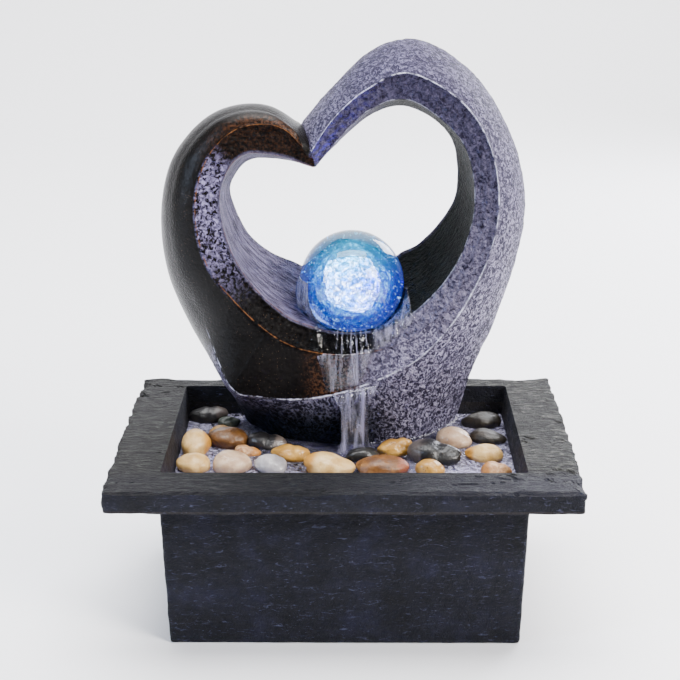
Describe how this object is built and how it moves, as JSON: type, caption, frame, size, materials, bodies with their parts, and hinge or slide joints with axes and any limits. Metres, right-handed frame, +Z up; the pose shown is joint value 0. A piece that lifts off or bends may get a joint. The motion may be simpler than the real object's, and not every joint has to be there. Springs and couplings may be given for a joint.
{
  "type": "tabletop water fountain",
  "caption": "Small indoor fountain: slate-finish basin with a wide rim, pebble bed, heart-shaped cast ring and a lit glass ball that rolls in a pool.",
  "frame": {"origin": "middle of the footprint on the table, under the rim's centre", "axes": "+Z up, the front with the open pebble bed faces -Y, +X to the viewer's right"},
  "size_m": [0.208, 0.144, 0.2619],
  "materials": {
    "slate_resin": "cast resin with a cleaved slate texture, dark grey",
    "heart_glaze": "cast resin, dark gloss on one limb and matt stone grey on the other",
    "crystal_glass": "clear glass full of bubbles and cracks",
    "deck_plastic": "moulded plastic, fine texture",
    "rubber": "moulded rubber",
    "lead_sheath": "soft PVC sheath",
    "black_plastic": "moulded ABS, satin",
    "grey_plastic": "moulded plastic, satin",
    "white_plastic": "moulded acetal",
    "circuit_board": "glass-fibre board with green lacquer",
    "led_epoxy": "cast clear epoxy dome",
    "clear_lens": "clear polycarbonate, polished",
    "clear_hose": "soft clear PVC",
    "ceramic": "ground alumina ceramic",
    "ferrite": "sintered ferrite",
    "core_steel": "punched steel laminations",
    "copper_winding": "enamelled copper wire",
    "potting_resin": "poured epoxy",
    "slate_pebble": "tumbled and polished, wet",
    "moss_pebble": "tumbled and polished, wet",
    "amber_pebble": "tumbled and polished, wet",
    "cream_pebble": "tumbled and polished, wet",
    "brown_pebble": "tumbled and polished, wet",
    "tan_pebble": "tumbled and polished, wet",
    "blush_pebble": "tumbled and polished, wet",
    "white_pebble": "tumbled and polished, wet",
    "black_pebble": "tumbled and polished, wet",
    "russet_pebble": "tumbled and polished, wet",
    "bark_pebble": "tumbled and polished, wet"
  },
  "bodies": {
    "basin": {"basin": "slate_resin", "rubber_foot_1": "rubber", "rubber_foot_2": "rubber", "rubber_foot_3": "rubber", "rubber_foot_4": "rubber", "pump_housing": "black_plastic", "stator_core": "core_steel", "stator_coil": "copper_winding", "motor_end_cap": "potting_resin", "impeller_shaft": "ceramic", "volute_cover": "black_plastic", "suction_cup_1": "rubber", "suction_cup_2": "rubber", "suction_cup_3": "rubber", "suction_cup_4": "rubber", "pump_lead": "lead_sheath", "cable_gland": "black_plastic", "gland_nut": "grey_plastic", "led_socket": "grey_plastic"},
    "impeller": {"impeller": "white_plastic", "rotor_magnet": "ferrite"},
    "strainer": {"strainer_cover": "black_plastic"},
    "dial": {"flow_dial": "grey_plastic"},
    "deck": {"deck": "deck_plastic", "pebble_01": "slate_pebble", "pebble_02": "moss_pebble", "pebble_03": "amber_pebble", "pebble_04": "cream_pebble", "pebble_05": "brown_pebble", "pebble_06": "tan_pebble", "pebble_07": "cream_pebble", "pebble_08": "blush_pebble", "pebble_09": "white_pebble", "pebble_10": "slate_pebble", "pebble_11": "amber_pebble", "pebble_12": "cream_pebble", "pebble_13": "black_pebble", "pebble_14": "russet_pebble", "pebble_15": "amber_pebble", "pebble_16": "black_pebble", "pebble_17": "amber_pebble", "pebble_18": "blush_pebble", "pebble_19": "bark_pebble", "pebble_20": "bark_pebble", "pebble_21": "cream_pebble", "pebble_22": "tan_pebble"},
    "sculpture": {"heart_sculpture": "heart_glaze", "outlet_hose": "clear_hose", "jet_nozzle": "black_plastic", "led_housing": "black_plastic", "led_board": "circuit_board", "led_lens": "clear_lens", "led_1": "led_epoxy", "led_2": "led_epoxy", "led_3": "led_epoxy", "led_4": "led_epoxy", "led_lead": "lead_sheath", "led_plug": "black_plastic"},
    "ball": {"crystal_ball": "crystal_glass"}
  },
  "joints": [
    {"name": "deck_lift", "type": "slide", "parent": "basin", "child": "deck", "axis": [0, 0, 1], "range_m": [0, 0.06]},
    {"name": "sculpture_lift", "type": "slide", "parent": "deck", "child": "sculpture", "axis": [0, 0, 1], "range_m": [0, 0.06]},
    {"name": "ball_spin", "type": "hinge", "parent": "sculpture", "child": "ball", "pos_m": [0.0032, 0.033, 0.1484], "axis": [1, 0, 0], "continuous": true},
    {"name": "impeller_spin", "type": "hinge", "parent": "basin", "child": "impeller", "pos_m": [0.0032, 0.033, 0.0295], "axis": [1, 0, 0], "continuous": true},
    {"name": "strainer_pull", "type": "slide", "parent": "basin", "child": "strainer", "axis": [-1, 0, 0], "range_m": [0, 0.04]},
    {"name": "flow_dial_turn", "type": "hinge", "parent": "strainer", "child": "dial", "pos_m": [-0.017, 0.033, 0.0295], "axis": [1, 0, 0], "range_deg": [-30, 30]}
  ]
}
